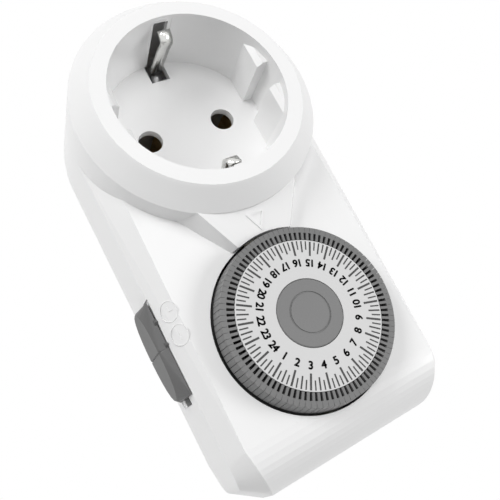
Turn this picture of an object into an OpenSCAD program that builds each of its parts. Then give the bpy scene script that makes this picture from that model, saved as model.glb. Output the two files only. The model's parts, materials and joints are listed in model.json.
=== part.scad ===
// Plug-in timer switch: a safety plug at the back, a socket and a 24-hour dial at the front.
// The origin is the centre of the plug's face, +Z points out of the front and the dial lies towards -Y.

/* [Housing] */
// Outer diameter of the round socket end, at the back edge
socket_end_d = 56.4; // [54:0.2:60]
// Distance from the socket axis to the dial axis
axis_spacing = 52.4; // [52:0.1:56]
// Distance from the dial axis to the end wall
dial_end_reach = 28.4; // [27.5:0.1:32]
// Narrowing of each side wall from the socket axis to the end wall
side_taper = 1.7; // [0:0.1:2.2]
// Height from the housing's back to the flat front face
housing_h = 19.1; // [18.8:0.1:22]
// Height from the housing's back to the crease under the bevel
crease_h = 14.7; // [13.5:0.1:15]
// Height from the housing's back to the parting line
parting_h = 4.3; // [4:0.1:5]
// Slope of the side walls and of the socket end, per unit of height
side_draft = 0.04; // [0.02:0.005:0.05]
// Width of the flat front face
front_w = 46.5; // [44:0.1:48]
// Width of the end wall between its two corner bevels
end_face_w = 38.6; // [36:0.1:40]
// Length of a corner bevel, along the housing
corner_bevel_l = 4; // [3:0.1:5]
// Radius where the front face rolls into the end wall
roll_r = 11; // [9:0.5:12]
// Wall thickness of the housing
wall = 2; // [1.6:0.1:2.2]

/* [Socket] */
// Height of the socket rim above the front face
rim_h = 9.8; // [9:0.1:11]
// Inner diameter of the socket recess
recess_d = 39.2; // [38.8:0.1:39.6]
// Depth of the recess below the rim
recess_depth = 17.5; // [17:0.1:17.6]
// Outer diameter of the flat rim
rim_d = 46; // [45:0.1:47]
// Height of the cone below the rim
rim_cone_h = 4.9; // [4:0.1:5.5]
// Thickness of the wall around the recess
recess_wall = 2.2; // [2:0.1:2.4]
// Distance between the two guide flats of the recess
flat_gap = 33.8; // [33.4:0.1:34.2]
// Depth of the guide flats' tops below the rim
flat_drop = 2.4; // [1.5:0.1:4]
// Width of the groove between two guide flats
flat_groove_w = 6; // [5:0.1:7]
// Diameter of a pin entry in the socket plate
pin_entry_d = 5.7; // [5.4:0.1:6]
// Thickness of the socket plate
socket_plate_t = 2; // [1.6:0.1:2.2]

/* [Plug] */
// Height of the plug body behind the housing
plug_h = 18.5; // [18:0.1:20]
// Diameter of the plug body
plug_d = 37.2; // [36.6:0.1:37.4]
// Distance between the two flats of the plug body
plug_flat_gap = 32.8; // [32.4:0.1:33]
// Diameter of a plug pin
pin_d = 4.8; // [4.6:0.1:4.9]
// Free length of a plug pin
pin_l = 19; // [18:0.1:19.5]
// Distance between the two pin axes
pin_spacing = 19; // [18.8:0.1:19.2]

/* [Dial] */
// Number of tappets, one for each quarter of an hour
tappet_count = 96; // [96]
// Number of tappets that are pieces of their own, beside the dial's zero hour
single_tappets = 8; // [8]
// Diameter of the ring of tappets at its top
dial_top_d = 37.1; // [36.8:0.1:37.3]
// Diameter of the ring of tappets at its foot
dial_foot_d = 38.1; // [37.6:0.1:38.3]
// Height of the dial's top above the front face
dial_proud = 4.5; // [4:0.1:5]
// Travel of a tappet
tappet_travel = 2; // [1.6:0.1:2]
// Width of a tappet's head, around the dial
tappet_head_w = 1.12; // [1:0.01:1.14]
// Width of a tappet's stem, around the dial
tappet_stem_w = 0.55; // [0.45:0.01:0.6]
// Diameter of the printed scale disc
scale_d = 31.2; // [30.8:0.1:31.2]
// Diameter of the cap in the middle of the dial
cap_d = 14.2; // [12:0.1:16]
// Diameter of the post that the dial turns on
dial_post_d = 4; // [3.6:0.1:4.2]

/* [Gears] */
// Tooth size of all gears: pitch diameter over number of teeth
gear_module = 0.4; // [0.38:0.01:0.4]
// Teeth of the gear under the dial
dial_teeth = 48; // [48]
// Teeth of the large wheels between motor and dial
wheel_teeth = 44; // [44]
// Teeth of the pinion that drives the dial
pinion_a_teeth = 12; // [12]
// Teeth of the two small pinions
pinion_b_teeth = 11; // [11]
// Thickness of a gear
gear_t = 1.2; // [1:0.05:1.25]

/* [Switch] */
// Length of the slide's cap
slide_l = 20.4; // [18:0.1:21]
// Height of the slide's cap at its middle
slide_h = 12.4; // [10:0.1:12.6]
// Travel of the slide
slide_travel = 5; // [4:0.1:5.5]
// How far the middle of the slide's cap stands out of the side wall
slide_proud = 2.3; // [2:0.1:3]

/* [Hidden] */

$fn = 96;
eps = 0.01;
gap = 0.3;

// Heights of the housing, from the plug's face
back_z = plug_h;
parting_z = back_z + parting_h;
crease_z = back_z + crease_h;
front_z = back_z + housing_h;
rim_z = front_z + rim_h;
cone_z = rim_z - rim_cone_h;
floor_z = rim_z - recess_depth;
plate_foot_z = floor_z - socket_plate_t;
inner_back_z = back_z + wall;

// Dial, plug and socket places
dial_y = -axis_spacing;
end_y = dial_y - dial_end_reach;
pin_x = pin_spacing / 2;
socket_end_r = socket_end_d / 2;

// Draws its children about the dial axis
module at_dial() translate([0, dial_y, 0]) children();

// Half of the housing's width at its back edge, at the distance y from the socket axis
function half_w(y) = socket_end_r + side_taper * y / (axis_spacing + dial_end_reach);

// Radius of the socket end at the height z
function end_r(z) = socket_end_r - side_draft * (z - back_z);

// ---- Housing form ----

roll_y = end_y + roll_r;
roll_z = front_z - roll_r;
front_hw = front_w / 2;
end_hw = end_face_w / 2;
corner_y = end_y + corner_bevel_l;
corner_hw = end_hw + corner_bevel_l * 1.22;
roll_steps = 12;

// Half of a bevel's turn, as the part of the wall inset that it takes off each corner
bevel_share = 0.45;
crease_share = 0.376;
end_share = 0.354;
corner_share = 0.478;

// A front or end crease point: t runs from 0 at the front face to 90 at the end wall
function front_point(t, inset) = [
    (front_hw - bevel_share * inset) * (1 - t / 90) + (end_hw - end_share * inset) * t / 90,
    roll_y - (roll_r - inset) * sin(t),
    roll_z + (roll_r - inset) * cos(t)];

// The matching point of the crease between the bevel and the side wall
function crease_point(t, inset) =
    let (side_hw = half_w(roll_y) - side_draft * crease_h)
    [corner_hw + (side_hw - corner_hw) * pow(cos(t), 0.6) - inset,
     roll_y - (roll_y - corner_y - corner_share * inset) * sin(t),
     roll_z + (crease_z - crease_share * inset - roll_z) * cos(t)];

// One half of the form's corner points, from the socket axis to the end wall
function form_points(inset) = concat(
    [[front_hw - bevel_share * inset, 0, front_z - inset],
     [half_w(0) - side_draft * crease_h - inset, 0, crease_z - crease_share * inset],
     [half_w(0) - inset, 0, back_z],
     [half_w(roll_y) - inset, roll_y, back_z],
     [end_hw - end_share * inset, end_y + inset, back_z]],
    [for (i = [0:roll_steps]) front_point(90 * i / roll_steps, inset)],
    [for (i = [0:roll_steps]) crease_point(90 * i / roll_steps, inset)],
    [for (i = [4:roll_steps])
        let (p = crease_point(90 * i / roll_steps, inset))
        [p[0] + side_draft * crease_h / 2, p[1], back_z]]);

// The bevelled body from the socket axis to the end wall, with its faces moved inwards
module body_form(inset = 0) {
    half = form_points(inset);
    points = concat(half, [for (p = half) [-p[0], p[1], p[2]]]);
    hull() polyhedron(points, [[for (i = [0:len(points) - 1]) i]]);
}

// The round socket end, up to the height top_z under the rim
module end_form(inset = 0) {
    rim_r = rim_d / 2;
    edge = 0.45;
    rotate_extrude($fn = 180) polygon([
        [0, back_z],
        [end_r(back_z) - inset, back_z],
        [end_r(cone_z) - inset, cone_z - 0.4 * inset],
        [rim_r + edge - 0.6 * inset, rim_z - edge - 0.6 * inset],
        [rim_r - 0.35 * inset, rim_z - inset],
        [0, rim_z - inset]]);
}

// Rise of the plateau towards the socket, and its height and place at the dial
plateau_slope = 0.281;
plateau_low_h = 2.4;
plateau_low_y = 18.6;

// The tapered plateau between the socket and the dial
module plateau(inset = 0) {
    top_y = dial_y + 31.5;
    low_y = dial_y + plateau_low_y;
    top_z = front_z + plateau_low_h + plateau_slope * (top_y - low_y) - inset;
    low_z = front_z + plateau_low_h - inset;
    top_hw = 14 - inset;
    low_hw = 6.5 - inset;
    flank = 0.41;
    under = front_z - wall - 1;
    half = [
        [top_hw, top_y, top_z],
        [low_hw, low_y, low_z],
        [top_hw + flank * (top_z - under), top_y, under],
        [low_hw + flank * (low_z - under), low_y, under]];
    points = concat(half, [for (p = half) [-p[0], p[1], p[2]]]);
    hull() polyhedron(points, [[for (i = [0:7]) i]]);
}

// Keeps what lies between two heights
module between(z0, z1) {
    intersection() {
        children();
        translate([-50, end_y - 10, z0]) cube([100, 150, z1 - z0]);
    }
}

// ---- Socket recess ----

recess_r = recess_d / 2;
recess_out_r = recess_r + recess_wall;
plate_r = recess_r + 0.7;
clip_w = 4;
clip_slot_w = clip_w + 1.2;
flat_top_z = rim_z - flat_drop;

// One pair of guide flats on the +X side, with a groove between them and sloped tops
module guide_flats() {
    lug_in = flat_gap / 2;
    slope = 1.2;
    difference() {
        intersection() {
            translate([0, 0, floor_z]) cylinder(r = recess_r + 0.4, h = flat_top_z - floor_z);
            rotate([90, 0, 0]) linear_extrude(recess_d, center = true) polygon([
                [lug_in, floor_z],
                [recess_r + 1, floor_z],
                [recess_r + 1, flat_top_z],
                [lug_in + slope, flat_top_z],
                [lug_in, flat_top_z - slope]]);
        }
        translate([lug_in - 1, -flat_groove_w / 2, floor_z - 1])
            cube([4, flat_groove_w, recess_depth]);
    }
}

module recess_tube() {
    difference() {
        translate([0, 0, plate_foot_z]) cylinder(r = recess_out_r, h = rim_z - plate_foot_z, $fn = 180);
        translate([0, 0, plate_foot_z - 1]) cylinder(r = plate_r + 0.05, h = socket_plate_t + 1);
        translate([0, 0, floor_z - 1]) cylinder(r = recess_r, h = recess_depth + 2, $fn = 180);
        for (side = [-1, 1])
            translate([-clip_slot_w / 2, side * (recess_r + 1) - 3, plate_foot_z - 1])
                cube([clip_slot_w, 6, rim_z - 1 - plate_foot_z + 1]);
    }
    guide_flats();
    mirror([1, 0, 0]) guide_flats();
}

// ---- Front shell ----

dial_opening_r = dial_foot_d / 2 + 0.5;
slot_hw = 2;
slide_z = back_z + 8.4;
slide_top_y = dial_y + 17.1;
slide_mid_y = slide_top_y - slide_l / 2;
screw_places = [[-22, -26], [22, -26], [-20, end_y + 7.3], [20, end_y + 7.3]];
screw_d = 2.9;
post_r = 2.9;
post_top_z = crease_z;

// The raised outline of the pointer beside the dial
module pointer() {
    line_w = 0.35;
    base = 2.2;
    base_y = dial_y + 24;
    tip_y = dial_y + 19.9;
    base_z = front_z + plateau_low_h + plateau_slope * (base_y - dial_y - plateau_low_y);
    translate([0, base_y, base_z - 0.1])
        rotate([atan(plateau_slope), 0, 0])
            linear_extrude(0.3) difference() {
                polygon([[-base, 0], [base, 0], [0, tip_y - base_y]]);
                polygon([
                    [-base + 2 * line_w, -line_w],
                    [base - 2 * line_w, -line_w],
                    [0, tip_y - base_y + 3 * line_w]]);
            }
}

// The pocket and the slot that the slide runs in, in the left side wall
module slide_opening() {
    margin = 0.5;
    pocket_depth = 0.6;
    wall_x = half_w(slide_mid_y);
    translate([-wall_x - 3, slide_top_y - slide_l - slide_travel - margin, slide_z - slot_hw - gap])
        cube([wall_x - 20, slide_l + slide_travel + 2 * margin, 2 * (slot_hw + gap)]);
    translate([-wall_x - 3 + pocket_depth, slide_top_y - slide_l - slide_travel - margin,
        slide_z - slide_h / 2])
        cube([3, slide_l + slide_travel + 2 * margin, slide_h + 1]);
}

module screw_posts() {
    intersection() {
        for (p = screw_places)
            translate([p[0], p[1], parting_z]) difference() {
                cylinder(r = post_r, h = front_z - parting_z, $fn = 32);
                translate([0, 0, -1]) cylinder(d = screw_d + 0.1, h = 9, $fn = 32);
            }
        union() {
            body_form(wall / 2);
            end_form(wall / 2);
        }
    }
}

module front_shell() {
    color("whitesmoke") {
        difference() {
            between(parting_z, rim_z + 1) difference() {
                union() {
                    body_form();
                    end_form();
                    plateau();
                }
                body_form(wall);
                end_form(wall);
                plateau(wall);
            }
            translate([0, 0, plate_foot_z - 1]) cylinder(r = recess_out_r - 0.1, h = 30, $fn = 180);
            at_dial() translate([0, 0, parting_z]) cylinder(r = dial_opening_r, h = 40, $fn = 180);
            slide_opening();
        }
        recess_tube();
        screw_posts();
        pointer();
    }
}

module socket_plate() {
    window_w = clip_w + 0.8;
    color("whitesmoke") difference() {
        translate([0, 0, plate_foot_z]) cylinder(r = plate_r, h = socket_plate_t, $fn = 180);
        for (side = [-1, 1]) {
            translate([side * pin_x, 0, plate_foot_z - 1]) cylinder(d = pin_entry_d, h = 4, $fn = 48);
            translate([-window_w / 2, side * 17.6 - 3, plate_foot_z - 1]) cube([window_w, 6, 4]);
        }
    }
}

// ---- Back shell with the plug body ----

plug_r = plug_d / 2;
plug_wall = 2;
plug_floor_t = 3;
earth_groove_w = clip_w + 0.8;
earth_groove_d = 1.5;
plug_rib_w = 5;
tongue_h = 1.4;
tongue_t = 0.9;

// Plan outline of the plug body: a disc with two flats and a rib on each
module plug_outline(inset = 0) {
    intersection() {
        circle(r = plug_r - inset, $fn = 120);
        union() {
            square([plug_flat_gap - 2 * inset, plug_d], center = true);
            square([plug_d, plug_rib_w - 2 * inset], center = true);
        }
    }
}

module housing_screw_hole(p) {
    head_seat_z = back_z + 2.4;
    translate([p[0], p[1], back_z - 1]) {
        cylinder(d = screw_d + 0.3, h = 20, $fn = 32);
        cylinder(d = 5.8, h = head_seat_z - back_z + 1, $fn = 32);
    }
}

module back_shell() {
    strip_slot_z = 13;
    color("whitesmoke") difference() {
        union() {
            between(back_z, parting_z) difference() {
                union() {
                    body_form();
                    end_form();
                }
                translate([0, 0, wall]) body_form(wall);
                translate([0, 0, wall]) end_form(wall);
            }
            between(back_z, parting_z + tongue_h) difference() {
                union() {
                    body_form(wall + 0.1);
                    end_form(wall + 0.1);
                }
                translate([0, 0, -1]) body_form(wall + tongue_t);
                translate([0, 0, -1]) end_form(wall + tongue_t);
                for (p = screw_places)
                    translate([p[0], p[1], parting_z]) cylinder(r = post_r + 0.1, h = 5, $fn = 32);
                translate([-socket_end_r, slide_top_y - slide_l - slide_travel - 1, parting_z])
                    cube([wall + 4, slide_l + slide_travel + 2, 5]);
            }
            linear_extrude(back_z + wall) plug_outline();
            for (p = screw_places)
                translate([p[0], p[1], back_z]) cylinder(r = post_r + 0.8, h = parting_h, $fn = 32);
            for (p = mech_screw_places)
                translate([p[0], p[1], back_z + 1])
                    cylinder(r = 2.6, h = mech_foot_z - back_z - 1, $fn = 32);
            for (side = [-1, 1])
                translate([side * pin_x, 0, 1]) cylinder(r = 4, h = plug_floor_t + 1, $fn = 48);
        }
        translate([0, 0, plug_floor_t]) linear_extrude(back_z + wall) plug_outline(plug_wall);
        for (side = [-1, 1]) {
            translate([side * pin_x, 0, -1]) cylinder(r = pin_root_r, h = 8, $fn = 48);
            translate([-earth_groove_w / 2, side * (plug_r - earth_groove_d + 2) - 2, -1])
                cube([earth_groove_w, 4, back_z - 2]);
            translate([-earth_groove_w / 2, side * (plug_r - 2) - 3, strip_slot_z])
                cube([earth_groove_w, 6, back_z - 3 - strip_slot_z]);
        }
        for (p = screw_places)
            housing_screw_hole(p);
        for (p = mech_screw_places)
            translate([p[0], p[1], back_z + 1.5]) cylinder(d = mech_screw_d + 0.1, h = 12, $fn = 32);
        slide_opening();
    }
}

// ---- Pins and metal strips ----

pin_head_z = 4.8;
pin_root_r = pin_d / 2 - 0.2;
pin_neck_r = pin_d / 2 - 0.8;

// Outline of a bent strip: its middle line given as points, moved half of its thickness each way
function normal(a, b) = let (d = b - a) [-d[1], d[0]] / norm(d);
function mitre(path, i) =
    let (
        n0 = normal(path[max(i - 1, 0)], path[max(i, 1)]),
        n1 = normal(path[min(i, len(path) - 2)], path[min(i + 1, len(path) - 1)]))
    (n0 + n1) / (1 + n0 * n1);
function ribbon(path, t) = concat(
    [for (i = [0:len(path) - 1]) path[i] + mitre(path, i) * t / 2],
    [for (i = [len(path) - 1:-1:0]) path[i] - mitre(path, i) * t / 2]);

// A strip bent in the Y-Z plane, centred on x
module strip_yz(path, t, w, x = 0) {
    translate([x - w / 2, 0, 0]) rotate([90, 0, 90]) linear_extrude(w) polygon(ribbon(path, t));
}

// A strip bent in the X-Z plane, centred on y
module strip_xz(path, t, w, y = 0) {
    translate([0, y + w / 2, 0]) rotate([90, 0, 0]) linear_extrude(w) polygon(ribbon(path, t));
}

module plug_pin(side) {
    tip = 1.2;
    translate([side * pin_x, 0, 0]) {
        rotate_extrude($fn = 48) polygon(concat(
            [[0, -pin_l]],
            [for (a = [0:15:90]) [pin_d / 2 - tip + tip * sin(a), -pin_l + tip - tip * cos(a)]],
            [[pin_d / 2, 0], [pin_root_r, 0], [pin_root_r, plug_floor_t + 2],
             [pin_neck_r, plug_floor_t + 2], [pin_neck_r, pin_head_z + 1.6], [0, pin_head_z + 1.6]]));
    }
}

module plug_pin_live() {
    color("silver") plug_pin(-1);
}

module plug_pin_neutral() {
    color("silver") plug_pin(1);
}

strip_t = 0.6;
earth_top_z = plate_foot_z - 1;

module earth_bracket() {
    half = [
        [0, earth_top_z],
        [17.2, earth_top_z],
        [18.9, earth_top_z + 2],
        [19.6, rim_z - 9.6],
        [17.2, rim_z - 5.4],
        [18.8, rim_z - 1.4]];
    mirrored = [for (i = [len(half) - 1:-1:1]) [-half[i][0], half[i][1]]];
    color("darkgray") difference() {
        strip_yz(concat(mirrored, half), strip_t, clip_w);
        cylinder(r = rivet_r, h = 40, $fn = 32);
    }
}

rivet_r = 1.1;
strip_level_z = earth_top_z - strip_t;

module plug_earth_strip() {
    out_y = plug_r - 0.5;
    half = [
        [0, strip_level_z],
        [5, strip_level_z],
        [13, back_z - 3.2],
        [out_y, back_z - 4.2],
        [out_y, 2.6],
        [out_y - 0.4, 1.6]];
    mirrored = [for (i = [len(half) - 1:-1:1]) [-half[i][0], half[i][1]]];
    color("darkgray") difference() {
        strip_yz(concat(mirrored, half), strip_t, clip_w);
        cylinder(r = rivet_r, h = 40, $fn = 32);
    }
}

module earth_rivet() {
    head_r = 1.8;
    head_h = 0.5;
    low_z = strip_level_z - strip_t / 2;
    high_z = earth_top_z + strip_t / 2;
    color("gainsboro") rotate_extrude($fn = 32) polygon([
        [0, low_z - head_h],
        [head_r, low_z - head_h],
        [head_r, low_z],
        [rivet_r, low_z],
        [rivet_r, high_z],
        [head_r, high_z],
        [head_r, high_z + head_h],
        [0, high_z + head_h]]);
}

fork_w = 6;
fork_t = 0.5;
fork_in = pin_d / 2 + 0.1;
fork_low_z = floor_z - 20.2;
fork_top_z = plate_foot_z - 0.8;

// The two blades around a socket pin's axis, joined below the pin's tip
function fork_path() = let (x = fork_in + fork_t / 2) [
    [-x - 0.9, fork_top_z],
    [-x, fork_top_z - 3],
    [-x, fork_low_z],
    [x, fork_low_z],
    [x, fork_top_z - 3],
    [x + 0.9, fork_top_z]];

module fork(side) {
    translate([side * pin_x, 0, 0]) strip_xz(fork_path(), fork_t, fork_w);
}

tab_z = plug_floor_t + 2 + fork_t / 2;

// A strip around a plug pin's neck that runs towards the switch and rises out of the plug body
module feed_tab(side, start) {
    bend_y = -9.6;
    path = concat(start, [[bend_y, tab_z], [bend_y, tab_top_z], [bend_y - 3, tab_top_z]]);
    translate([side * pin_x, 0, 0]) difference() {
        strip_yz(path, fork_t, fork_w);
        cylinder(r = pin_neck_r + 0.02, h = tab_z + 1, $fn = 32);
    }
}

tab_top_z = inner_back_z + 0.9;

module neutral_contact() {
    color("goldenrod") {
        fork(1);
        feed_tab(1, [[(fork_w - fork_t) / 2, fork_low_z], [(fork_w - fork_t) / 2, tab_z]]);
    }
}

module live_contact() {
    color("goldenrod") fork(-1);
}

module feed_strip() {
    color("goldenrod") feed_tab(-1, [[fork_w / 2, tab_z]]);
}

// ---- Screws ----

module screw(d, l, head_d, head_h) {
    rotate_extrude($fn = 32) polygon([
        [0, -head_h],
        [head_d / 2 * 0.8, -head_h],
        [head_d / 2, -head_h * 0.6],
        [head_d / 2, 0],
        [d / 2, 0],
        [d / 2, l - 1],
        [d / 5, l],
        [0, l]]);
}

module housing_screws() {
    color("silver") for (p = screw_places)
        translate([p[0], p[1], back_z + 2.4]) difference() {
            screw(screw_d, 9, 5.2, 1.8);
            for (a = [0, 90])
                rotate(a) translate([-1.6, -0.3, -2.8]) cube([3.2, 0.6, 2]);
        }
}

// ---- Movement plate and motor ----

level_gap = 0.4;
flange_z = front_z - 3;
level_3_z = flange_z - level_gap - gear_t;
level_2_z = level_3_z - level_gap - gear_t;
level_1_z = level_2_z - level_gap - gear_t;
mech_plate_t = 1.5;
mech_top_z = level_1_z - level_gap;
mech_foot_z = mech_top_z - mech_plate_t;
mech_r = 17.6;
mech_screw_d = 2.2;
mech_screw_r = 20;
mech_screw_places = [for (a = [-30, -150, 60]) [mech_screw_r * cos(a), dial_y + mech_screw_r * sin(a)]];

wheel_a_dist = gear_module * (dial_teeth + pinion_a_teeth) / 2;
wheel_b_dist = gear_module * (wheel_teeth + pinion_b_teeth) / 2;
wheel_a_at = wheel_a_dist * [cos(-55), sin(-55)];
wheel_b_at = wheel_a_at + wheel_b_dist * [cos(190), sin(190)];
motor_pinion_at = wheel_b_at + wheel_b_dist * [cos(130), sin(130)];
arbor_r = 0.6;
post_bore_r = dial_post_d / 2 + 0.05;

// Tooth outline of a spur gear, turned by the angle turn
function gear_outline(teeth, turn) =
    let (
        pitch_r = gear_module * teeth / 2,
        tip_r = pitch_r + 0.75 * gear_module,
        root_r = pitch_r - gear_module,
        step = 360 / teeth)
    [for (i = [0:teeth - 1], k = [[-0.30, root_r], [-0.11, tip_r], [0.11, tip_r], [0.30, root_r]])
        let (a = turn + step * (i + k[0]))
        k[1] * [cos(a), sin(a)]];

module gear(teeth, turn, t) {
    linear_extrude(t) polygon(gear_outline(teeth, turn));
}

// Turn that puts a tooth gap of the follower on a tooth of its driver along the angle a
function mesh_turn(teeth, a) = a + 180 + 180 / teeth;

module mech_plate() {
    color("gainsboro") at_dial() {
        difference() {
            union() {
                translate([0, 0, mech_foot_z]) cylinder(r = mech_r, h = mech_plate_t);
                for (p = mech_screw_places)
                    translate([p[0], p[1] - dial_y, mech_foot_z])
                        cylinder(r = 3, h = mech_plate_t, $fn = 32);
                translate([0, 0, mech_foot_z]) cylinder(d = dial_post_d, h = post_top - mech_foot_z);
            }
            for (p = mech_screw_places)
                translate([p[0], p[1] - dial_y, mech_foot_z - 1])
                    cylinder(d = mech_screw_d + 0.2, h = 4, $fn = 32);
            translate([motor_pinion_at[0], motor_pinion_at[1], mech_foot_z - 1])
                cylinder(r = 1.5, h = 4, $fn = 32);
            for (p = [wheel_a_at, wheel_b_at])
                translate([p[0], p[1], mech_foot_z - 1]) cylinder(r = arbor_r, h = 4, $fn = 32);
            translate([0, 0, post_top - 6]) cylinder(d = dial_screw_d, h = 7, $fn = 32);
        }
    }
}

module mech_screws() {
    color("silver") for (p = mech_screw_places)
        translate([p[0], p[1], mech_top_z]) mirror([0, 0, 1]) screw(mech_screw_d, 6, 4, 1.2);
}

motor_at = [-1, dial_y - 3];
motor_r = 14.5;
motor_wall = 0.6;
motor_foot_z = inner_back_z;
motor_top_z = mech_foot_z - 0.5;
rotor_r = 6;
coil_in = 7.4;
coil_out = 12.6;
coil_z = motor_foot_z + motor_wall + 0.6;
shaft_r = 0.75;

module motor_can() {
    color("lightgray") translate([motor_at[0], motor_at[1], motor_foot_z]) difference() {
        cylinder(r = motor_r, h = motor_top_z - motor_foot_z - motor_wall);
        translate([0, 0, motor_wall]) cylinder(r = motor_r - motor_wall, h = 20);
        translate([0, 0, -1]) cylinder(r = shaft_r + 0.05, h = 3, $fn = 32);
    }
}

module motor_coil() {
    flange_t = 0.6;
    coil_h = motor_top_z - motor_wall - 1.5 - coil_z;
    color("peru") translate([motor_at[0], motor_at[1], coil_z - 0.6])
        rotate_extrude() polygon([
            [coil_in, 0],
            [coil_out, 0],
            [coil_out, flange_t],
            [coil_out - 1, flange_t],
            [coil_out - 1, coil_h + 1.2 - flange_t],
            [coil_out, coil_h + 1.2 - flange_t],
            [coil_out, coil_h + 1.2],
            [coil_in, coil_h + 1.2]]);
}

module motor_lid() {
    color("silver") translate([0, 0, motor_top_z - motor_wall]) difference() {
        translate([motor_at[0], motor_at[1], 0]) cylinder(r = motor_r, h = motor_wall);
        translate([motor_at[0], motor_at[1], -1]) cylinder(r = shaft_r + 0.05, h = 3, $fn = 32);
        translate([motor_pinion_at[0], motor_pinion_at[1] + dial_y, -1])
            cylinder(r = shaft_r + 0.05, h = 3, $fn = 32);
    }
}

module rotor() {
    rotor_z = motor_foot_z + motor_wall + 0.8;
    color("dimgray") translate([motor_at[0], motor_at[1], 0]) {
        translate([0, 0, rotor_z])
            cylinder(r = rotor_r, h = motor_top_z - motor_wall - 0.8 - rotor_z, $fn = 48);
        translate([0, 0, motor_foot_z]) cylinder(r = shaft_r, h = motor_top_z - motor_foot_z, $fn = 32);
    }
}

module motor_pinion() {
    turn = mesh_turn(pinion_b_teeth, 130);
    color("ivory") at_dial() translate([motor_pinion_at[0], motor_pinion_at[1], 0]) {
        translate([0, 0, level_1_z]) gear(pinion_b_teeth, turn, gear_t);
        translate([0, 0, motor_top_z - motor_wall - 0.4])
            cylinder(r = shaft_r, h = level_1_z - motor_top_z + motor_wall + 0.5, $fn = 32);
    }
}

wheel_a_turn = mesh_turn(pinion_a_teeth, -55);
wheel_b_turn = mesh_turn(pinion_b_teeth, 190);

module gear_a() {
    color("ivory") at_dial() translate([wheel_a_at[0], wheel_a_at[1], 0]) difference() {
        union() {
            translate([0, 0, level_2_z]) gear(wheel_teeth, 190, gear_t);
            translate([0, 0, level_2_z]) gear(pinion_a_teeth, wheel_a_turn, level_3_z + gear_t - level_2_z);
        }
        translate([0, 0, level_2_z - 1]) cylinder(r = arbor_r + 0.05, h = 9, $fn = 32);
    }
}

module gear_b() {
    color("ivory") at_dial() translate([wheel_b_at[0], wheel_b_at[1], 0]) difference() {
        union() {
            translate([0, 0, level_1_z]) gear(wheel_teeth, 130, gear_t);
            translate([0, 0, level_1_z]) gear(pinion_b_teeth, wheel_b_turn, level_2_z + gear_t - level_1_z);
        }
        translate([0, 0, level_1_z - 1]) cylinder(r = arbor_r + 0.05, h = 9, $fn = 32);
    }
}

module gear_arbors() {
    color("silver") at_dial() {
        translate([wheel_a_at[0], wheel_a_at[1], mech_foot_z])
            cylinder(r = arbor_r, h = level_3_z + gear_t + 0.2 - mech_foot_z, $fn = 32);
        translate([wheel_b_at[0], wheel_b_at[1], mech_foot_z])
            cylinder(r = arbor_r, h = level_2_z + gear_t + 0.2 - mech_foot_z, $fn = 32);
    }
}

// ---- Dial ----

dial_top_z = front_z + dial_proud;
head_foot_z = dial_top_z - 4.1;
scale_t = 0.5;
stem_in_r = scale_d / 2 + 0.1;
stem_out_r = 17.3;
flange_t = head_foot_z - tappet_travel - flange_z - 0.05;
rib_top_z = dial_top_z - 2.6;
web_z = dial_top_z - 4.6;
web_t = 1.2;
stem_foot_z = flange_z + 0.2;
pitch_angle = 360 / tappet_count;
cap_t = 1.1;
post_top = web_z + web_t + 0.05;
dial_screw_d = 2.2;
hub_r = 4;

module dial_wheel() {
    slot_w = tappet_stem_w + 0.1;
    color("dimgray") at_dial() difference() {
        union() {
            translate([0, 0, flange_z]) cylinder(r = dial_foot_d / 2, h = flange_t, $fn = 192);
            translate([0, 0, flange_z]) cylinder(r = stem_out_r - 0.05, h = rib_top_z - flange_z, $fn = 192);
            translate([0, 0, flange_z]) cylinder(r = stem_in_r - 0.05, h = dial_top_z - scale_t - flange_z);
            translate([0, 0, level_3_z]) gear(dial_teeth, -55, flange_z - level_3_z + 0.1);
        }
        translate([0, 0, web_z + web_t]) cylinder(r = stem_in_r - 1.4, h = 9);
        difference() {
            translate([0, 0, flange_z - 1]) cylinder(r = stem_in_r - 1.4, h = web_z - flange_z + 1);
            translate([0, 0, flange_z - 2]) cylinder(r = gear_module * dial_teeth / 2 - gear_module, h = 9);
        }
        translate([0, 0, level_3_z - 1]) cylinder(r = post_bore_r, h = 20, $fn = 64);
        for (i = [0:tappet_count - 1])
            rotate((i + 0.5) * pitch_angle)
                translate([stem_in_r - 0.05, -slot_w / 2, flange_z - 1])
                    cube([stem_out_r + 0.05 - stem_in_r, slot_w, 9]);
    }
}

// One tappet, in the tappet place numbered i
module tappet(i) {
    top_r = dial_top_d / 2;
    foot_r = dial_foot_d / 2;
    rotate(90 + (i + 0.5) * pitch_angle) rotate([90, 0, 0]) {
        linear_extrude(tappet_stem_w, center = true) polygon([
            [stem_in_r, stem_foot_z],
            [stem_out_r - 0.1, stem_foot_z],
            [stem_out_r - 0.1, head_foot_z],
            [stem_out_r + 0.4, head_foot_z],
            [stem_out_r + 0.4, dial_top_z],
            [stem_in_r, dial_top_z]]);
        linear_extrude(tappet_head_w, center = true) polygon([
            [stem_out_r, head_foot_z],
            [foot_r, head_foot_z],
            [top_r, dial_top_z],
            [stem_out_r, dial_top_z]]);
    }
}

first_single = 20;

module single_tappet(k) {
    color("dimgray") at_dial() tappet(first_single + k - 1);
}

module tappets_rest() {
    color("dimgray") at_dial()
        for (i = [0:tappet_count - 1])
            if (i < first_single || i >= first_single + single_tappets)
                tappet(i);
}

module scale_disc() {
    color("gainsboro") at_dial() translate([0, 0, dial_top_z - scale_t]) difference() {
        cylinder(d = scale_d, h = scale_t, $fn = 180);
        translate([0, 0, -1]) cylinder(d = cap_d + 0.2, h = 3);
    }
}

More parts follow.
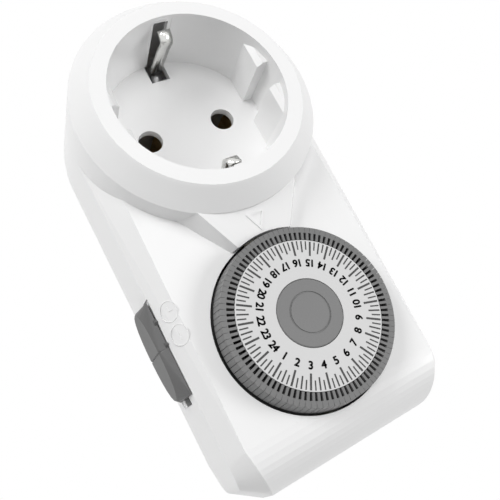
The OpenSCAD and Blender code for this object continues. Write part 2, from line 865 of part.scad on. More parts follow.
module dial_cap() {
    groove_r = cap_d * 0.3;
    skirt_r = cap_d / 2 - 1;
    color("gray") at_dial() translate([0, 0, dial_top_z]) rotate_extrude() polygon([
        [0, -cap_t],
        [skirt_r - 1, -cap_t],
        [skirt_r - 1, web_z + web_t - dial_top_z],
        [skirt_r, web_z + web_t - dial_top_z],
        [skirt_r, -cap_t],
        [cap_d / 2, -cap_t],
        [cap_d / 2, -0.1],
        [cap_d / 2 - 0.2, 0.1],
        [groove_r + 0.2, 0.1],
        [groove_r + 0.2, -0.1],
        [groove_r - 0.2, -0.1],
        [groove_r - 0.2, 0.1],
        [0, 0.1]]);
}

module dial_washer() {
    color("silver") at_dial() translate([0, 0, post_top]) difference() {
        cylinder(r = hub_r - 0.2, h = 0.4, $fn = 48);
        translate([0, 0, -1]) cylinder(d = dial_screw_d + 0.1, h = 3, $fn = 32);
    }
}

module dial_screw() {
    color("silver") at_dial() translate([0, 0, post_top + 0.4])
        mirror([0, 0, 1]) screw(dial_screw_d - 0.1, 5, 4, 1.2);
}

// ---- Switch ----

lever_y = dial_y + 23;
lever_z = flange_z - 3.2;
lever_w = 4.6;
lever_pin_r = 0.8;
nose_y = dial_y + (stem_in_r + stem_out_r) / 2;
tail_y = lever_y + 5;
leaf_z = lever_z + 1.3;
block_y0 = lever_y - 1.6;
block_y1 = lever_y + 7.6;

module contact_block() {
    color("tan") difference() {
        union() {
            translate([over_x + leaf_t / 2, block_y0 + 1.6, inner_back_z])
                cube([16 - over_x - leaf_t / 2, block_y1 - block_y0 - 1.6, lever_z - 2.2 - inner_back_z]);
            for (side = [-1, 1])
                translate([side * (lever_w / 2 + 1.2) - 0.9, block_y0, inner_back_z])
                    cube([1.8, 3.2, lever_z + 1.4 - inner_back_z]);
            translate([-16.5, lever_y + 3, inner_back_z]) cube([4, 4.6, leaf_z - 0.15 - inner_back_z]);
            translate([11.5, lever_y + 3, inner_back_z]) cube([4, 4.6, leaf_z + 2.2 - inner_back_z]);
        }
        translate([-10, lever_y, lever_z]) rotate([0, 90, 0]) cylinder(r = lever_pin_r, h = 20, $fn = 32);
        translate([0, 0, over_z]) linear_extrude(over_h) polygon(override_blade());
        for (side = [-1, 1])
            translate([side * lead_x, block_y0, lead_z]) rotate([-90, 0, 0])
                cylinder(r = lead_r, h = 20, $fn = 16);
    }
}

module lever_pin() {
    color("silver") translate([-lever_w / 2 - 2.1, lever_y, lever_z])
        rotate([0, 90, 0]) cylinder(r = lever_pin_r, h = lever_w + 4.2, $fn = 32);
}

module switch_lever() {
    nose_top = flange_z - 0.6;
    color("ivory") difference() {
        translate([-lever_w / 2 + 0.2, 0, 0]) rotate([90, 0, 90]) linear_extrude(lever_w - 0.4) polygon([
            [nose_y - 0.7, nose_top],
            [nose_y + 0.7, nose_top],
            [nose_y + 1.6, lever_z + 0.9],
            [lever_y, lever_z + 1.6],
            [tail_y - 1.4, lever_z + 0.2],
            [tail_y - 0.6, leaf_z - 0.45],
            [tail_y + 0.6, leaf_z - 0.45],
            [tail_y + 0.9, lever_z - 0.6],
            [lever_y, lever_z - 1.6],
            [nose_y, lever_z - 0.6]]);
        translate([-10, lever_y, lever_z]) rotate([0, 90, 0])
            cylinder(r = lever_pin_r + 0.05, h = 20, $fn = 32);
    }
}

leaf_t = 0.3;
leaf_y = tail_y;

module moving_contact() {
    color("goldenrod") {
        translate([-16, leaf_y - 1.5, leaf_z - leaf_t / 2]) cube([25.5, 3, leaf_t]);
        translate([7.6, leaf_y, leaf_z]) cylinder(r = 1.2, h = 0.6, $fn = 32);
    }
}

module fixed_contact() {
    color("goldenrod") {
        strip_xz([[15.2, leaf_z + 2.35], [5.8, leaf_z + 2.35]], leaf_t, 3, leaf_y);
        translate([7.6, leaf_y, leaf_z + 1.7]) cylinder(r = 1.2, h = 0.6, $fn = 32);
    }
}

cap_x = -half_w(slide_mid_y) + 0.4;
cam_x = cap_x + 6.6;

module override_slide() {
    foot_y = slide_top_y - slide_l;
    color("gray") {
        intersection() {
            translate([0, 0, slide_z - slide_h / 2]) linear_extrude(slide_h) polygon([
                [cap_x, slide_top_y],
                [cap_x - slide_proud - 1.4, slide_top_y - 0.2],
                [cap_x - slide_proud - 1.4, slide_top_y - 1],
                [cap_x - slide_proud, slide_top_y - 2.2],
                [cap_x - slide_proud, slide_mid_y + 0.3],
                [cap_x - slide_proud + 0.2, slide_mid_y],
                [cap_x - slide_proud, slide_mid_y - 0.3],
                [cap_x - slide_proud - 0.8, foot_y + 0.6],
                [cap_x - slide_proud - 0.4, foot_y],
                [cap_x, foot_y]]);
            translate([cap_x - 6, slide_mid_y, slide_z]) rotate([0, 90, 0]) scale([1, 1, 1])
                linear_extrude(8) polygon([for (a = [0:10:350])
                    [slide_h / 2 * cos(a), (slide_l / 2 + 1.6) * sin(a)]]);
        }
        translate([cap_x - 0.5, slide_mid_y - 4, slide_z - slot_hw]) cube([3.2, 8, 2 * slot_hw]);
        translate([cap_x + 2.6, slide_mid_y - 6, slide_z - 3.4]) cube([1.2, 14, 6.8]);
        translate([0, 0, slide_z - 1.5]) linear_extrude(3) polygon([
            [cap_x + 3.7, slide_mid_y + 8],
            [cam_x + 0.8, slide_mid_y + 8],
            [cam_x - 0.4, slide_mid_y + 2],
            [cap_x + 3.7, slide_mid_y + 1]]);
    }
}

over_x = cam_x + 2.4;
over_root_y = lever_y + 4;
over_nose_y = slide_mid_y + 2.6;
over_z = slide_z - 2.6;
over_h = 3.4;
over_nose = 2.25;

module override_leaf() {
    color("goldenrod") translate([0, 0, over_z]) linear_extrude(over_h) polygon(ribbon([
        [over_x, over_root_y],
        [over_x, over_nose_y + 2],
        [over_x - over_nose, over_nose_y],
        [over_x, over_nose_y - 2]], leaf_t));
}

// Outline of the fixed blade beside the leaf, seen from the front
function override_blade() = ribbon([
    [over_x + 3.4, over_root_y],
    [over_x + 3.4, block_y0 + 1],
    [over_x + 1.5, over_nose_y + 3],
    [over_x + 1.5, over_nose_y - 3]], leaf_t);

module override_contact() {
    color("goldenrod") translate([0, 0, over_z]) linear_extrude(over_h) polygon(override_blade());
}

module slide_spring() {
    color("silver") translate([0, 0, inner_back_z]) linear_extrude(2) polygon(ribbon([
        [cap_x + 5, slide_mid_y - 16],
        [cap_x + 5, slide_mid_y - 9],
        [cap_x + 4, slide_mid_y - 7],
        [cap_x + 5, slide_mid_y - 5]], 0.4));
}

// ---- Motor leads ----

lead_r = 0.6;
lead_x = 5;
lead_z = inner_back_z + 2;

// A round lead along straight stretches, with a ball at each bend
module lead(path, r) {
    for (i = [0:len(path) - 2]) {
        d = path[i + 1] - path[i];
        translate(path[i]) rotate([0, acos(d[2] / norm(d)), atan2(d[1], d[0])])
            cylinder(r = r, h = norm(d), $fn = 16);
        translate(path[i + 1]) sphere(r = 1.15 * r, $fn = 16);
    }
}

// The way of a motor lead on the given side, from the motor to the strip of a plug pin
function lead_path(side) = [
    [side * 3, motor_at[1] + sqrt(motor_r * motor_r - 16) + lead_r, lead_z],
    [side * lead_x, block_y0 - 2, lead_z],
    [side * lead_x, block_y1 + 2, lead_z],
    [side * pin_x, -12, tab_top_z + fork_t / 2 + lead_r]];

module lead_live() {
    color("brown") lead(lead_path(-1), lead_r);
}

module lead_neutral() {
    color("steelblue") lead(lead_path(1), lead_r);
}

front_shell();
socket_plate();
back_shell();
plug_pin_live();
plug_pin_neutral();
earth_bracket();
plug_earth_strip();
earth_rivet();
neutral_contact();
live_contact();
feed_strip();
housing_screws();
mech_plate();
mech_screws();
motor_can();
motor_coil();
motor_lid();
rotor();
motor_pinion();
gear_a();
gear_b();
gear_arbors();
contact_block();
switch_lever();
lever_pin();
moving_contact();
fixed_contact();
override_slide();
override_leaf();
override_contact();
slide_spring();
lead_live();
lead_neutral();
dial_wheel();
scale_disc();
dial_cap();
dial_washer();
dial_screw();
tappets_rest();
for (k = [1:single_tappets])
    single_tappet(k);
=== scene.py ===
"""Looks of the plug-in timer switch: materials, printed scale, slide, clips, signs, studio and camera."""

import json
import math

import bmesh
import bpy
from mathutils import Matrix, Vector


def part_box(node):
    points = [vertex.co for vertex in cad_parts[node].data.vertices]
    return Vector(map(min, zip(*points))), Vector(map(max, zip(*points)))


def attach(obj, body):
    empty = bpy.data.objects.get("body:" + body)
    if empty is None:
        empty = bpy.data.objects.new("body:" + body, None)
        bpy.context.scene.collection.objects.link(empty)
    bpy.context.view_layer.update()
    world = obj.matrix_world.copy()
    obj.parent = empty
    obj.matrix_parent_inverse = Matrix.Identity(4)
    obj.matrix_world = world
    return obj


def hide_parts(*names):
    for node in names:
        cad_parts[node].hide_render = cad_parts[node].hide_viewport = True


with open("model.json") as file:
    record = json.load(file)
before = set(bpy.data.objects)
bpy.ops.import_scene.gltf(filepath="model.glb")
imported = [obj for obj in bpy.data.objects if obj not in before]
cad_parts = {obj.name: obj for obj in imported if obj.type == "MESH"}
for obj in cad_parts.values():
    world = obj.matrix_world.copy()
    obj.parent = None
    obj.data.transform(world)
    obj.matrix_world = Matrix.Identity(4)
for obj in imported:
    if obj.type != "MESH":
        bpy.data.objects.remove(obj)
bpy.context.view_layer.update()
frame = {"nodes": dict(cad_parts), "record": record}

# ---- Sizes, in metres ----

MM = 0.001
PHOTO_SIZE = 500
FOCAL_PX = 621.7
CENTRE_PX = (259.9, 224.5)
CAMERA_AT = Vector((-53.12, -62.02, 156.59)) * MM
CAMERA_AIM = Vector((-0.55, -31.49, 42.0)) * MM
CAMERA_ROLL = math.radians(34.516)

dial_low, dial_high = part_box("scale_disc")
DIAL_X = (dial_low.x + dial_high.x) / 2
DIAL_Y = (dial_low.y + dial_high.y) / 2
SCALE_R = (dial_high.x - dial_low.x) / 2
SCALE_Z = dial_high.z
FLOOR_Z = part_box("plug_pin_live")[0].z
END_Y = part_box("front_shell")[0].y
RIM_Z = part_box("front_shell")[1].z
BACK_Z = 18.5 * MM
FRONT_Z = 37.6 * MM
RECESS_R = 19.6 * MM
RECESS_FLOOR_Z = RIM_Z - 17.5 * MM


# ---- Materials ----

def grey(level):
    """An sRGB grey level from 0 to 255 as a linear colour."""
    c = level / 255
    linear = c / 12.92 if c <= 0.04045 else ((c + 0.055) / 1.055) ** 2.4
    return (linear, linear, linear, 1)


def moulded(name, colour, roughness, grain=900, bump=0.02, mottle=0.03, metallic=0.0, coat=0.0):
    """A moulded or rolled surface: fine grain in its bump, and a slight change of tone and gloss."""
    mat = bpy.data.materials.new(name)
    mat.use_nodes = True
    nodes, links = mat.node_tree.nodes, mat.node_tree.links
    shader = nodes["Principled BSDF"]
    shader.inputs["Metallic"].default_value = metallic
    shader.inputs["Coat Weight"].default_value = coat
    place = nodes.new("ShaderNodeTexCoord")

    tone = nodes.new("ShaderNodeTexNoise")
    tone.inputs["Scale"].default_value = 60
    tone.inputs["Detail"].default_value = 3
    links.new(place.outputs["Object"], tone.inputs["Vector"])
    blend = nodes.new("ShaderNodeMix")
    blend.data_type = "RGBA"
    blend.inputs["A"].default_value = [c * (1 - mottle) for c in colour[:3]] + [1]
    blend.inputs["B"].default_value = [min(1, c * (1 + mottle)) for c in colour[:3]] + [1]
    links.new(tone.outputs["Fac"], blend.inputs["Factor"])
    links.new(blend.outputs["Result"], shader.inputs["Base Color"])

    gloss = nodes.new("ShaderNodeMapRange")
    gloss.inputs["To Min"].default_value = roughness * 0.9
    gloss.inputs["To Max"].default_value = roughness * 1.1
    links.new(tone.outputs["Fac"], gloss.inputs["Value"])
    links.new(gloss.outputs["Result"], shader.inputs["Roughness"])

    fine = nodes.new("ShaderNodeTexNoise")
    fine.inputs["Scale"].default_value = grain
    fine.inputs["Detail"].default_value = 2
    links.new(place.outputs["Object"], fine.inputs["Vector"])
    relief = nodes.new("ShaderNodeBump")
    relief.inputs["Strength"].default_value = bump
    relief.inputs["Distance"].default_value = 0.0002
    links.new(fine.outputs["Fac"], relief.inputs["Height"])
    links.new(relief.outputs["Normal"], shader.inputs["Normal"])
    return mat


WHITE = moulded("white_plastic", (0.86, 0.86, 0.86, 1), 0.32, grain=700, bump=0.03, mottle=0.01, coat=0.15)
MATERIALS = {
    "white_plastic": WHITE,
    "nickel_pin": moulded("nickel", (0.75, 0.74, 0.72, 1), 0.2, metallic=1),
    "spring_steel": moulded("spring_steel", (0.36, 0.36, 0.36, 1), 0.35, grain=1500, bump=0.1, metallic=1),
    "steel": moulded("zinc_steel", (0.6, 0.6, 0.62, 1), 0.3, metallic=1),
    "brass": moulded("brass", (0.75, 0.56, 0.28, 1), 0.3, metallic=1),
    "clip_metal": moulded("clip_metal", (0.72, 0.72, 0.7, 1), 0.17, grain=1200, bump=0.03, metallic=1),
    "slide_grey": moulded("slide_grey", grey(98), 0.5, grain=1600, bump=0.15, mottle=0.06),
    "copper": moulded("winding", (0.65, 0.3, 0.14, 1), 0.4, grain=2500, bump=0.3, metallic=0.8),
    "magnet": moulded("magnet", (0.05, 0.05, 0.05, 1), 0.6),
    "gear_plastic": moulded("natural_plastic", (0.72, 0.7, 0.62, 1), 0.45),
    "block_plastic": moulded("thermoset", (0.35, 0.24, 0.12, 1), 0.5),
    "grey_plastic": moulded("grey_plastic", grey(118), 0.5, grain=1600, bump=0.15, mottle=0.06),
    "lead_brown": moulded("brown_sleeve", (0.1, 0.04, 0.02, 1), 0.45),
    "lead_blue": moulded("blue_sleeve", (0.02, 0.09, 0.35, 1), 0.45),
    "dark_plastic": moulded("dark_plastic", grey(45), 0.45),
    "scale_grey": moulded("scale_grey", grey(208), 0.5, grain=1500, bump=0.05, mottle=0.02),
    "tappet_plastic": moulded("tappet_plastic", grey(112), 0.4, grain=1600, bump=0.1, mottle=0.05),
}
INK = moulded("ink", grey(52), 0.55, grain=2500, bump=0.1, mottle=0.1)


def dress_cad_nodes():
    """Gives every CAD node the material of its slot."""
    for part in frame["record"]["subparts"]:
        node = frame["nodes"][part["node"]]
        node.data.materials.clear()
        node.data.materials.append(MATERIALS[part["material_slot"]])


# ---- Printed scale ----

HOURS = 24
QUARTERS = 4
HOUR_AT_POINTER = 17
LIFT = 0.03 * MM
TICK_OUT = SCALE_R - 0.25 * MM
# Length and width of the lines for a full hour, a quarter past, a half and a quarter to
TICK_FORMS = (
    (3.2 * MM, 0.42 * MM),
    (1.9 * MM, 0.28 * MM),
    (2.5 * MM, 0.32 * MM),
    (1.9 * MM, 0.28 * MM),
)
NUMBER_R = 10.65 * MM
NUMBER_SIZE = 2.2 * MM
NUMBER_BOLD = 0.09 * MM
NUMBER_SPACING = 0.88
BOLD_COPIES = 6


def hour_angle(hour):
    """The hour's direction from the dial's axis, counted from +X: hours run the way angles do."""
    return math.radians(90 + (hour - HOUR_AT_POINTER) * 360 / HOURS)


def mesh_piece(name, verts, faces, material, body):
    """A new mesh that rides on the body."""
    mesh = bpy.data.meshes.new(name)
    mesh.from_pydata(verts, [], faces)
    mesh.materials.append(material)
    piece = bpy.data.objects.new(name, mesh)
    bpy.context.scene.collection.objects.link(piece)
    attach(piece, body)
    return piece


def scale_ticks():
    """All 96 printed lines as one piece: long for an hour, middling for a half, short for a quarter."""
    verts, faces = [], []
    for step in range(HOURS * QUARTERS):
        length, width = TICK_FORMS[step % QUARTERS]
        angle = hour_angle(step / QUARTERS)
        out = Vector((math.cos(angle), math.sin(angle), 0))
        side = Vector((-out.y, out.x, 0)) * width / 2
        centre = Vector((DIAL_X, DIAL_Y, SCALE_Z + LIFT))
        first = len(verts)
        for r, s in ((TICK_OUT - length, -1), (TICK_OUT, -1), (TICK_OUT, 1), (TICK_OUT - length, 1)):
            verts.append(centre + out * r + side * s)
        faces.append((first, first + 1, first + 2, first + 3))
    mesh_piece("scale_ticks", verts, faces, INK, "dial")


def number_shape(hour):
    """Points and faces of a number in its own plane; copies set a little apart make its strokes bold."""
    text = bpy.data.curves.new("number", "FONT")
    text.body = str(hour)
    text.size = NUMBER_SIZE
    text.space_character = NUMBER_SPACING
    text.align_x = "CENTER"
    text.align_y = "CENTER"
    holder = bpy.data.objects.new("number", text)
    flat = bpy.data.meshes.new_from_object(holder)
    verts, faces = [], []
    for step in range(BOLD_COPIES):
        turn = step * math.tau / BOLD_COPIES
        shift = Vector((math.cos(turn), math.sin(turn), 0)) * NUMBER_BOLD
        first = len(verts)
        verts += [v.co + shift for v in flat.vertices]
        faces += [tuple(first + i for i in face.vertices) for face in flat.polygons]
    bpy.data.objects.remove(holder)
    bpy.data.curves.remove(text)
    bpy.data.meshes.remove(flat)
    return verts, faces


def hour_numbers():
    """The numbers 1 to 24, with their tops towards the dial's axis."""
    for hour in range(1, HOURS + 1):
        angle = hour_angle(hour)
        centre = (DIAL_X + NUMBER_R * math.cos(angle), DIAL_Y + NUMBER_R * math.sin(angle), SCALE_Z + LIFT)
        place = Matrix.Translation(centre) @ Matrix.Rotation(angle + math.pi / 2, 4, "Z")
        verts, faces = number_shape(hour)
        piece = mesh_piece(f"hour_{hour}", [place @ v for v in verts], faces, INK, "dial")


# ---- Housing ----

def shell_copy(node, move):
    """A copy of the node's mesh with its points moved, as a piece that stands for the node."""
    mesh = frame["nodes"][node].data.copy()
    mesh.name = f"{node}_form"
    piece = bpy.data.objects.new(mesh.name, mesh)
    bpy.context.scene.collection.objects.link(piece)
    piece.matrix_world = frame["nodes"][node].matrix_world
    for point in mesh.vertices:
        point.co = move(point.co.copy())
    mesh.materials.clear()
    mesh.materials.append(WHITE)
    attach(piece, "housing")
    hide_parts(node)


# How far the top of the end wall leans in, and how far from its foot the lean starts
END_LEAN = 1.2 * MM
LEAN_FROM = 6.3 * MM
# Edges of the slide's pocket, in the solid and as drawn in
POCKET_END = (-61.2 * MM, -57.3 * MM)
POCKET_LOW = (20.7 * MM, 21.7 * MM)
POCKET_HIGH = (34.1 * MM, 33.4 * MM)
# The part of the left side that the pocket lies in
POCKET_SIDE_X = -20 * MM
POCKET_START_Y = -34 * MM
NEAR = 0.05 * MM
NEAR_FACE = 0.15 * MM
# The left side wall: half width at the socket's axis, its taper towards the dial and its draft
HALF_WIDTH = 28.2 * MM
SIDE_TAPER = 1.7 / 80.8
SIDE_DRAFT = 0.04


def wall_x(y, z, out=0.0):
    """X of the left side wall's face, or of a point that stands out of it."""
    return -(HALF_WIDTH + SIDE_TAPER * y) + SIDE_DRAFT * (z - BACK_Z) - out


def housing_move(p):
    """Leans the end wall and draws the slide's pocket in to the cap's size."""
    reach = min(1, max(0, (END_Y + LEAN_FROM - p.y) / LEAN_FROM))
    height = min(1, max(0, (p.z - BACK_Z) / (FRONT_Z - BACK_Z)))
    p.y += END_LEAN * reach * height
    if p.x < POCKET_SIDE_X and POCKET_END[0] - NEAR < p.y < POCKET_START_Y:
        on_face = abs(p.x - wall_x(p.y, p.z)) < NEAR_FACE
        if abs(p.y - POCKET_END[0]) < NEAR:
            p.y = POCKET_END[1]
        for old, new in (POCKET_LOW, POCKET_HIGH):
            if abs(p.z - old) < NEAR:
                p.z = new
        if on_face:
            p.x = wall_x(p.y, p.z)
    return p


def block(low, high):
    """Corner points and faces of a box."""
    xs, ys, zs = zip(low, high)
    verts = [(x, y, z) for x in xs for y in ys for z in zs]
    faces = [(0, 1, 3, 2), (4, 6, 7, 5), (0, 4, 5, 1), (2, 3, 7, 6), (0, 2, 6, 4), (1, 5, 7, 3)]
    return verts, faces


def joined(blocks):
    """The points and faces of several forms as one."""
    verts, faces = [], []
    for v, f in blocks:
        first = len(verts)
        verts += v
        faces += [tuple(first + i for i in face) for face in f]
    return verts, faces


# Half width of a clip slot and of the wider one in the solid, and its top under the rim
SLOT_HW = 1.75 * MM
WIDE_SLOT_HW = 2.6 * MM
SLOT_TOP = 1.9 * MM
WIDE_SLOT_TOP = 0.9 * MM
TUBE_T = 1.0 * MM
CHEEK_BACK = 0.1 * MM


def slot_cheeks():
    """The cheeks of the two clip slots in the recess wall."""
    blocks = []
    for side in (-1, 1):
        y0, y1 = sorted((side * (RECESS_R - CHEEK_BACK), side * (RECESS_R + TUBE_T)))
        for x in (-1, 1):
            x0, x1 = sorted((x * SLOT_HW, x * WIDE_SLOT_HW))
            blocks.append(block((x0, y0, RECESS_FLOOR_Z), (x1, y1, RIM_Z - WIDE_SLOT_TOP)))
        blocks.append(block((-SLOT_HW, y0, RIM_Z - SLOT_TOP), (SLOT_HW, y1, RIM_Z - WIDE_SLOT_TOP)))
    mesh_piece("slot_cheeks", *joined(blocks), WHITE, "housing")


# ---- Earth clips ----

STRIP_T = 0.6 * MM
CLIP_HW = 1.45 * MM
BEND_STEPS = 6
BEND_SHARE = 0.45


def rounded(path):
    """The path with each inner corner turned into a short arc."""
    out = [path[0]]
    for before, at, after in zip(path, path[1:], path[2:]):
        a = at.lerp(before, BEND_SHARE)
        b = at.lerp(after, BEND_SHARE)
        for i in range(BEND_STEPS + 1):
            t = i / BEND_STEPS
            out.append(a.lerp(at, t).lerp(at.lerp(b, t), t))
    out.append(path[-1])
    return out


def earth_clips():
    """The bent strip under the socket plate, with a bulging spring clip at each end."""
    low_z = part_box("earth_bracket")[0].z + STRIP_T / 2
    low_y = RECESS_R - 1.9 * MM
    bulge_y = RECESS_R - 3.9 * MM
    bulge_z = RIM_Z - 3.6 * MM
    half = [
        (0, low_z),
        (low_y, low_z),
        (low_y, RECESS_FLOOR_Z + 1 * MM),
        (bulge_y + 0.6 * MM, bulge_z - 3.4 * MM),
        (bulge_y, bulge_z - 1.4 * MM),
        (bulge_y + 0.2 * MM, bulge_z),
        (bulge_y + 2.2 * MM, bulge_z + 0.9 * MM),
    ]
    path = [Vector((-y, z)) for y, z in reversed(half[1:])] + [Vector(p) for p in half]
    path = rounded(path)
    verts, faces = [], []
    for i, p in enumerate(path):
        along = (path[min(i + 1, len(path) - 1)] - path[max(i - 1, 0)]).normalized()
        across = Vector((-along.y, along.x)) * STRIP_T / 2
        for x, edge in ((-1, 1), (1, 1), (1, -1), (-1, -1)):
            q = p + edge * across
            verts.append((x * CLIP_HW, q.x, q.y))
        if i:
            a, b = 4 * (i - 1), 4 * i
            faces += [(a + k, a + (k + 1) % 4, b + (k + 1) % 4, b + k) for k in range(4)]
    last = 4 * (len(path) - 1)
    faces += [(3, 2, 1, 0), (last, last + 1, last + 2, last + 3)]
    piece = mesh_piece("earth_clips", verts, faces, MATERIALS["clip_metal"], "housing")
    piece.data.materials.append(MATERIALS["spring_steel"])
    for face in piece.data.polygons:
        face.use_smooth = len(face.vertices) == 4 and abs(face.normal.x) < 0.5
        face.material_index = int(face.center.z < RECESS_FLOOR_Z)
    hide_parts("earth_bracket")


# ---- Slide ----

SLIDE_TOP_Y = -35.3 * MM
SLIDE_L = 20.4 * MM
SLIDE_MID_Y = SLIDE_TOP_Y - SLIDE_L / 2
SLIDE_Z = 27.5 * MM
SLIDE_HH = 5.5 * MM
SLIDE_PROUD = 2.2 * MM
CAP_EDGE = 0.35 * MM
CAP_GROOVE = 0.22 * MM
CAP_CLEAR = 0.15 * MM
STEM_X = (-27.84 * MM, -24.2 * MM)
STEM_HALF = (4 * MM, 2 * MM)
GUIDE_X = (-24.24 * MM, -23.04 * MM)
GUIDE_Y = (-6 * MM, 8 * MM)
GUIDE_HH = 3.4 * MM
CAM_X = (-23.14 * MM, -20.24 * MM)
CAM_HH = 1.5 * MM
STEM_Z = 26.9 * MM
TOOTH = 0.6 * MM
TOOTH_H = 0.8 * MM
TOOTH_SUNK = 0.1 * MM
TEETH_Y = (SLIDE_TOP_Y - 4.5 * MM, SLIDE_TOP_Y - 9.5 * MM)
# The lens outline of the cap: how much shorter and lower it is than the cap's foot, and how blunt
LENS_STEPS = 24
LENS_SHORTER = 0.15 * MM
LENS_LOWER = 0.9
LENS_BLUNT = 0.12


def lens(grow):
    """Y and Z of the cap's outer outline, a lens with blunt ends."""
    points = []
    for step in range(LENS_STEPS):
        a = step * math.tau / LENS_STEPS
        bulge = (1 - LENS_BLUNT * math.sin(a) ** 2) / (1 - LENS_BLUNT)
        points.append((
            SLIDE_MID_Y + (SLIDE_L / 2 - LENS_SHORTER + grow) * math.cos(a),
            SLIDE_Z + (SLIDE_HH * LENS_LOWER + grow) * math.sin(a) * bulge,
        ))
    return points


def cap_half(end):
    """The part of the cap on one side of its middle groove, as the hull of its outlines."""
    foot = [(SLIDE_MID_Y, SLIDE_Z - SLIDE_HH), (SLIDE_MID_Y, SLIDE_Z + SLIDE_HH)]
    foot += [(SLIDE_MID_Y + end * SLIDE_L / 2, z) for _, z in foot]
    rings = [(foot, CAP_CLEAR)]
    for grow, out in ((0, SLIDE_PROUD - CAP_EDGE), (-CAP_EDGE, SLIDE_PROUD)):
        kept = [p for p in lens(grow) if end * (p[0] - SLIDE_MID_Y) > CAP_GROOVE]
        rings.append((kept, out))
    middle = [p[1] for p in lens(0) if abs(p[0] - SLIDE_MID_Y) < 1 * MM]
    for drop, off in ((CAP_GROOVE, 0.0), (0.0, CAP_GROOVE)):
        for z in (min(middle) + CAP_EDGE, max(middle) - CAP_EDGE):
            rings.append(([(SLIDE_MID_Y + end * off, z)], SLIDE_PROUD - drop))
        for z in (min(middle), max(middle)):
            rings.append(([(SLIDE_MID_Y + end * off, z)], SLIDE_PROUD - CAP_EDGE - drop))
    shape = bmesh.new()
    for outline, out in rings:
        for y, z in outline:
            shape.verts.new((wall_x(y, z, out), y, z))
    bmesh.ops.convex_hull(shape, input=shape.verts)
    shape.verts.index_update()
    verts = [tuple(v.co) for v in shape.verts]
    faces = [tuple(v.index for v in f.verts) for f in shape.faces]
    shape.free()
    return verts, faces


def slide_tooth(y):
    """A small pointer tooth on the cap's upper flank."""
    z = SLIDE_Z + SLIDE_HH - TOOTH_SUNK
    base = [(y - TOOTH, z), (y + TOOTH, z), (y, z + TOOTH_H)]
    verts = [(wall_x(a, b, out), a, b) for out in (-TOOTH_SUNK, TOOTH) for a, b in base]
    return verts, [(0, 1, 2), (5, 4, 3), (0, 3, 4, 1), (1, 4, 5, 2), (2, 5, 3, 0)]


def slide_cam():
    """The wedge that swings the override leaf."""
    mid = SLIDE_MID_Y
    outline = [
        (CAM_X[0], mid + 8 * MM),
        (CAM_X[1] + 0.8 * MM, mid + 8 * MM),
        (CAM_X[1] - 0.4 * MM, mid + 2 * MM),
        (CAM_X[0], mid + 1 * MM),
    ]
    verts = [(x, y, z) for z in (STEM_Z - CAM_HH, STEM_Z + CAM_HH) for x, y in outline]
    sides = [(i, (i + 1) % 4, (i + 1) % 4 + 4, i + 4) for i in range(4)]
    return verts, [(0, 3, 2, 1), (4, 5, 6, 7)] + sides


def override_slide():
    """The cap, its stem through the wall, the guide plate behind the wall and the cam."""
    mid = SLIDE_MID_Y
    stem_l, stem_h = STEM_HALF
    stem = block((STEM_X[0], mid - stem_l, STEM_Z - stem_h), (STEM_X[1], mid + stem_l, STEM_Z + stem_h))
    guide = block(
        (GUIDE_X[0], mid + GUIDE_Y[0], STEM_Z - GUIDE_HH),
        (GUIDE_X[1], mid + GUIDE_Y[1], STEM_Z + GUIDE_HH),
    )
    teeth = [slide_tooth(y) for y in TEETH_Y]
    parts = [cap_half(1), cap_half(-1), *teeth, stem, guide, slide_cam()]
    piece = mesh_piece("slide_form", *joined(parts), MATERIALS["slide_grey"], "override")
    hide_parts("override_slide")


# ---- Signs on the bevel ----

SIGN_R = 2.1 * MM
SIGN_LINE = 0.12 * MM
RING_STEPS = 40
CLOCK_SIGN = Vector((-24.4, -39.5, 36.3)) * MM
ON_SIGN = Vector((-24.4, -44.6, 36.3)) * MM


def relief_sign(name, at, strokes):
    """A ring and short strokes that stand slightly out of the bevel; x runs towards the front face."""
    shell = frame["nodes"]["front_shell"]
    _, spot, normal, _ = shell.closest_point_on_mesh(shell.matrix_world.inverted() @ at)
    spot = shell.matrix_world @ spot
    normal = (shell.matrix_world.to_3x3() @ normal).normalized()
    up = (Vector((0, 1, 0)) - normal * normal.y).normalized()
    side = up.cross(normal).normalized()
    curve = bpy.data.curves.new(name, "CURVE")
    curve.dimensions = "3D"
    curve.bevel_depth = SIGN_LINE
    curve.bevel_resolution = 1
    turns = [step * math.tau / RING_STEPS for step in range(RING_STEPS)]
    ring = [(math.cos(turn), math.sin(turn)) for turn in turns]
    for path, closed in [(ring, True)] + [(stroke, False) for stroke in strokes]:
        line = curve.splines.new("POLY")
        line.points.add(len(path) - 1)
        line.use_cyclic_u = closed
        for point, (u, v) in zip(line.points, path):
            point.co = (*(spot + (side * u + up * v) * SIGN_R), 1)
    curve.materials.append(WHITE)
    piece = bpy.data.objects.new(name, curve)
    bpy.context.scene.collection.objects.link(piece)
    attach(piece, "housing")


def signs():
    """A clock for timed running and a bar for always on."""
    relief_sign("clock_sign", CLOCK_SIGN, [[(0, 0.6), (0, 0), (0.45, 0)]])
    relief_sign("on_sign", ON_SIGN, [[(0, 0.5), (0, -0.5)]])


# ---- Studio ----

STUDIO_AIM = (0, -0.03, 0.03)


def soft_light(name, at, size, power):
    """A round soft light that points at the part."""
    lamp = bpy.data.lights.new(name, "AREA")
    lamp.shape = "DISK"
    lamp.size = size
    lamp.energy = power
    holder = bpy.data.objects.new(name, lamp)
    bpy.context.scene.collection.objects.link(holder)
    holder.location = at
    holder.rotation_euler = (Vector(STUDIO_AIM) - Vector(at)).to_track_quat("-Z", "Y").to_euler()


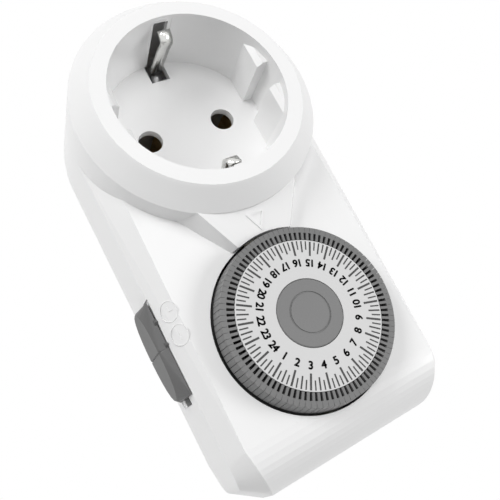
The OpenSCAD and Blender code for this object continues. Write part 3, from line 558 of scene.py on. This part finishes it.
def seen_rays(nodes, links):
    """One for rays that show the background: straight, off metal or through clear material."""
    ray = nodes.new("ShaderNodeLightPath")
    total = ray.outputs["Is Camera Ray"]
    for kind in ("Is Glossy Ray", "Is Transmission Ray"):
        most = nodes.new("ShaderNodeMath")
        most.operation = "MAXIMUM"
        links.new(total, most.inputs[0])
        links.new(ray.outputs[kind], most.inputs[1])
        total = most.outputs[0]
    return total


WORLD_SEEN = 1.0
WORLD_LIGHT = 0.32
FLOOR_SIZE = 2.0
FLOOR_DROP = 0.0002


def studio():
    """A white surrounding that lights the part softly, and three soft lights."""
    world = bpy.data.worlds.new("studio")
    bpy.context.scene.world = world
    world.use_nodes = True
    nodes, links = world.node_tree.nodes, world.node_tree.links
    light = nodes["Background"]
    light.inputs["Color"].default_value = (1, 1, 1, 1)
    light.inputs["Strength"].default_value = WORLD_LIGHT
    seen = nodes.new("ShaderNodeBackground")
    seen.inputs["Color"].default_value = (1, 1, 1, 1)
    seen.inputs["Strength"].default_value = WORLD_SEEN
    mix = nodes.new("ShaderNodeMixShader")
    links.new(seen_rays(nodes, links), mix.inputs["Fac"])
    links.new(light.outputs["Background"], mix.inputs[1])
    links.new(seen.outputs["Background"], mix.inputs[2])
    links.new(mix.outputs["Shader"], nodes["World Output"].inputs["Surface"])
    soft_light("key", (-0.42, 0.42, 0.5), 0.35, 2.6)
    soft_light("fill", (0.5, -0.28, 0.45), 0.35, 1.9)
    soft_light("top", (-0.05, 0.1, 0.75), 0.3, 1.4)


def floor():
    """A pale floor that the camera sees as plain white."""
    bpy.ops.mesh.primitive_plane_add(size=FLOOR_SIZE, location=(0, 0, FLOOR_Z - FLOOR_DROP))
    plane = bpy.context.object
    plane.name = "floor"
    mat = bpy.data.materials.new("floor")
    mat.use_nodes = True
    nodes, links = mat.node_tree.nodes, mat.node_tree.links
    shader = nodes["Principled BSDF"]
    shader.inputs["Base Color"].default_value = (0.9, 0.9, 0.9, 1)
    shader.inputs["Roughness"].default_value = 0.9
    glow = nodes.new("ShaderNodeEmission")
    mix = nodes.new("ShaderNodeMixShader")
    links.new(seen_rays(nodes, links), mix.inputs["Fac"])
    links.new(shader.outputs["BSDF"], mix.inputs[1])
    links.new(glow.outputs["Emission"], mix.inputs[2])
    links.new(mix.outputs["Shader"], nodes["Material Output"].inputs["Surface"])
    plane.data.materials.append(mat)


def camera():
    """The camera at the photograph's angle."""
    optics = bpy.data.cameras.new("camera")
    optics.sensor_width = 36
    optics.lens = FOCAL_PX / PHOTO_SIZE * optics.sensor_width
    optics.shift_x = (PHOTO_SIZE / 2 - CENTRE_PX[0]) / PHOTO_SIZE
    optics.shift_y = (CENTRE_PX[1] - PHOTO_SIZE / 2) / PHOTO_SIZE
    optics.clip_start = 0.01
    holder = bpy.data.objects.new("camera", optics)
    bpy.context.scene.collection.objects.link(holder)
    turn = (CAMERA_AIM - CAMERA_AT).to_track_quat("-Z", "Y").to_matrix()
    turn = turn @ Matrix.Rotation(CAMERA_ROLL, 3, "Z")
    holder.matrix_world = Matrix.Translation(CAMERA_AT) @ turn.to_4x4()
    bpy.context.scene.camera = holder


dress_cad_nodes()
scale_ticks()
hour_numbers()
signs()
for shell in ("front_shell", "back_shell"):
    shell_copy(shell, housing_move)
slot_cheeks()
earth_clips()
override_slide()
studio()
floor()
camera()
bpy.context.scene.view_settings.view_transform = "Standard"
